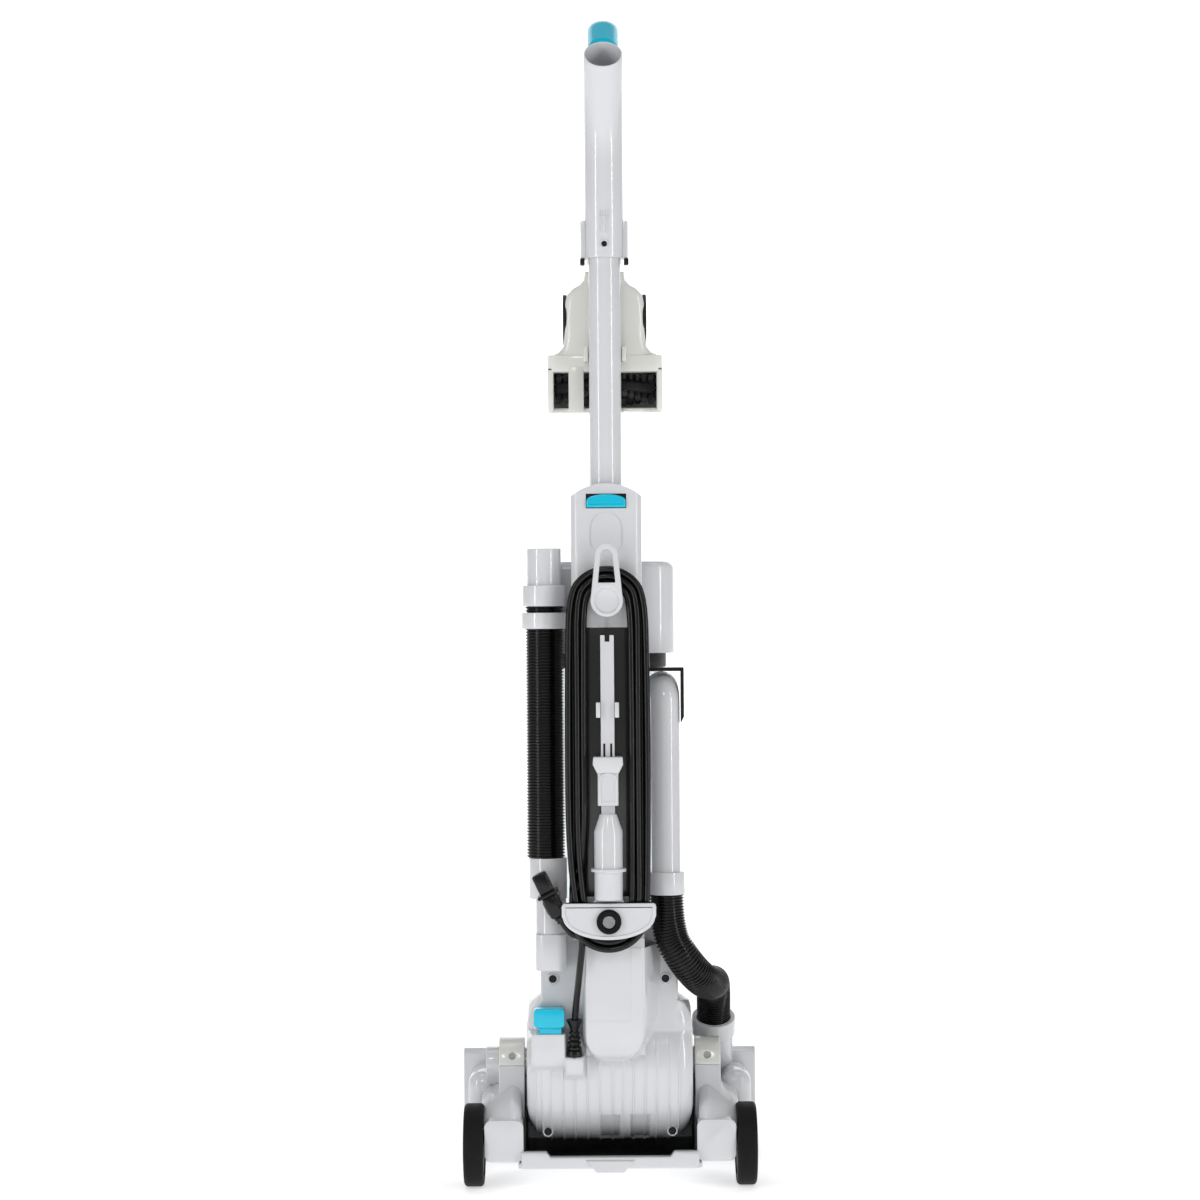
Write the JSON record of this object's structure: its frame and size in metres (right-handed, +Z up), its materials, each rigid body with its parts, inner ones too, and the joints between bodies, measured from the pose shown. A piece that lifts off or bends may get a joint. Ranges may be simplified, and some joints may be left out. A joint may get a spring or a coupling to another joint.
{
  "type": "upright vacuum cleaner",
  "caption": "Upright bagless vacuum cleaner with a floor nozzle, reclining body, dust tank, lift-off wand, corrugated hoses, wound mains lead and stored tools.",
  "frame": {"origin": "on the floor, midway between the two rear wheels", "axes": "+X to the user's right, +Y forward, the way the nozzle is pushed, +Z up"},
  "size_m": [0.29, 0.3536, 1.0996],
  "materials": {
    "white_abs": "glossy moulded ABS, cool white",
    "warm_white_abs": "glossy moulded ABS, warm white",
    "teal_abs": "glossy moulded ABS, teal",
    "hose_black": "corrugated EVA hose, satin",
    "cord_black": "PVC cord sheath, satin",
    "black_plastic": "moulded black polypropylene, satin",
    "spine_grey": "glossy dark grey ABS",
    "tyre_black": "soft tread",
    "hub_grey": "moulded nylon",
    "rubber_black": "moulded rubber",
    "steel": "zinc-plated steel",
    "clear_cup": "clear polycarbonate",
    "foam": "open-cell foam",
    "filter_pleat": "pleated filter paper",
    "bristle": "nylon bristle"
  },
  "bodies": {
    "foot": {"foot_housing": "white_abs", "base_frame": "white_abs", "sole_plate": "black_plastic", "foot_bumper": "rubber_black", "trunnion_caps": "warm_white_abs", "foot_fasteners": "steel", "front_wheel_brackets": "black_plastic", "hose_elbow": "white_abs", "brush_bearings": "black_plastic", "drive_belt": "rubber_black"},
    "rear_wheel_left": {"rear_tyre_left": "tyre_black", "rear_hub_left": "hub_grey"},
    "rear_wheel_right": {"rear_tyre_right": "tyre_black", "rear_hub_right": "hub_grey"},
    "front_roller_left": {"front_wheel_left": "hub_grey"},
    "front_roller_right": {"front_wheel_right": "hub_grey"},
    "floor_brush": {"brush_roll": "black_plastic", "brush_bristles": "bristle"},
    "rotor": {"motor_rotor": "steel"},
    "body": {"motor_housing": "white_abs", "motor_front_cover": "white_abs", "motor_casing": "black_plastic", "motor_mounts": "rubber_black", "exhaust_filter": "foam", "spine_shell": "white_abs", "spine_panel": "spine_grey", "tool_clips": "white_abs", "lower_cord_bracket": "white_abs", "bracket_bumper": "rubber_black", "body_screws": "steel", "cord_hank": "cord_black", "cord_lead": "cord_black", "cord_strain_relief": "cord_black", "cord_plug": "cord_black", "hose_clip": "white_abs", "stretch_hose": "hose_black", "hose_lower_cuff": "white_abs", "hose_pipe": "white_abs", "duct_pipe": "white_abs", "duct_bracket": "black_plastic", "foot_hose": "hose_black"},
    "switch": {"power_switch": "teal_abs"},
    "wand_button": {"release_button": "teal_abs"},
    "hook": {"cord_hook": "white_abs"},
    "crevice": {"crevice_tool": "white_abs"},
    "duster": {"dusting_brush": "white_abs"},
    "hose_end": {"hose_nozzle": "white_abs"},
    "tank": {"tank_cup": "clear_cup", "tank_collar": "black_plastic"},
    "lid": {"tank_lid": "white_abs", "tank_shroud": "black_plastic", "tank_filter": "filter_pleat"},
    "latch": {"tank_latch": "teal_abs"},
    "wand": {"wand_tube": "white_abs", "handle_tube": "white_abs", "handle_grip": "teal_abs", "tool_holder": "white_abs"},
    "turbo": {"turbo_housing": "warm_white_abs", "turbo_covers": "black_plastic"},
    "turbo_roll": {"turbo_brush": "bristle"}
  },
  "joints": [
    {"name": "recline", "type": "hinge", "parent": "foot", "child": "body", "pos_m": [0, 0.04, 0.111], "axis": [1, 0, 0], "range_deg": [0, 60], "deforming": ["foot_hose"]},
    {"name": "rear_wheel_left_spin", "type": "hinge", "parent": "foot", "child": "rear_wheel_left", "pos_m": [-0.129, 0, 0.039], "axis": [1, 0, 0], "continuous": true},
    {"name": "rear_wheel_right_spin", "type": "hinge", "parent": "foot", "child": "rear_wheel_right", "pos_m": [0.129, 0, 0.039], "axis": [1, 0, 0], "continuous": true},
    {"name": "front_roller_left_spin", "type": "hinge", "parent": "foot", "child": "front_roller_left", "pos_m": [-0.072, 0.134, 0.01], "axis": [1, 0, 0], "continuous": true},
    {"name": "front_roller_right_spin", "type": "hinge", "parent": "foot", "child": "front_roller_right", "pos_m": [0.072, 0.134, 0.01], "axis": [1, 0, 0], "continuous": true},
    {"name": "brush_spin", "type": "hinge", "parent": "foot", "child": "floor_brush", "pos_m": [0, 0.19, 0.031], "axis": [1, 0, 0], "continuous": true},
    {"name": "motor_spin", "type": "hinge", "parent": "body", "child": "rotor", "pos_m": [0, 0.04, 0.111], "axis": [1, 0, 0], "continuous": true},
    {"name": "switch_press", "type": "slide", "parent": "body", "child": "switch", "axis": [0, 0, -1], "range_m": [0, 0.004], "stiffness_N_per_m": 800, "springref_m": -0.002},
    {"name": "button_press", "type": "slide", "parent": "body", "child": "wand_button", "axis": [0, 1, 0], "range_m": [0, 0.0025], "stiffness_N_per_m": 600, "springref_m": -0.001},
    {"name": "hook_swivel", "type": "hinge", "parent": "body", "child": "hook", "pos_m": [0, -0.07, 0.555], "axis": [0, 1, 0], "range_deg": [0, 180]},
    {"name": "crevice_off", "type": "slide", "parent": "body", "child": "crevice", "axis": [0, -1, 0], "range_m": [0, 0.06]},
    {"name": "duster_slide", "type": "slide", "parent": "crevice", "child": "duster", "axis": [0, 0, 1], "range_m": [0, 0.03]},
    {"name": "hose_pull", "type": "slide", "parent": "body", "child": "hose_end", "axis": [0, 0, 1], "range_m": [0, 0.1], "deforming": ["stretch_hose"]},
    {"name": "tank_off", "type": "slide", "parent": "body", "child": "tank", "axis": [0, 1, 0], "range_m": [0, 0.15]},
    {"name": "lid_lift", "type": "slide", "parent": "tank", "child": "lid", "axis": [0, 0, 1], "range_m": [0, 0.09]},
    {"name": "latch_press", "type": "slide", "parent": "lid", "child": "latch", "axis": [0, -1, 0], "range_m": [0, 0.0022], "stiffness_N_per_m": 600, "springref_m": -0.001},
    {"name": "wand_lift", "type": "slide", "parent": "body", "child": "wand", "axis": [0, 0, 1], "range_m": [0, 0.12]},
    {"name": "turbo_off", "type": "slide", "parent": "wand", "child": "turbo", "axis": [0, 0, -1], "range_m": [0, 0.036]},
    {"name": "turbo_spin", "type": "hinge", "parent": "turbo", "child": "turbo_roll", "pos_m": [0, 0.003, 0.757], "axis": [1, 0, 0], "continuous": true}
  ],
  "couplings": [
    {"joint": "brush_spin", "follows": "motor_spin", "ratio": 0.4211}
  ]
}
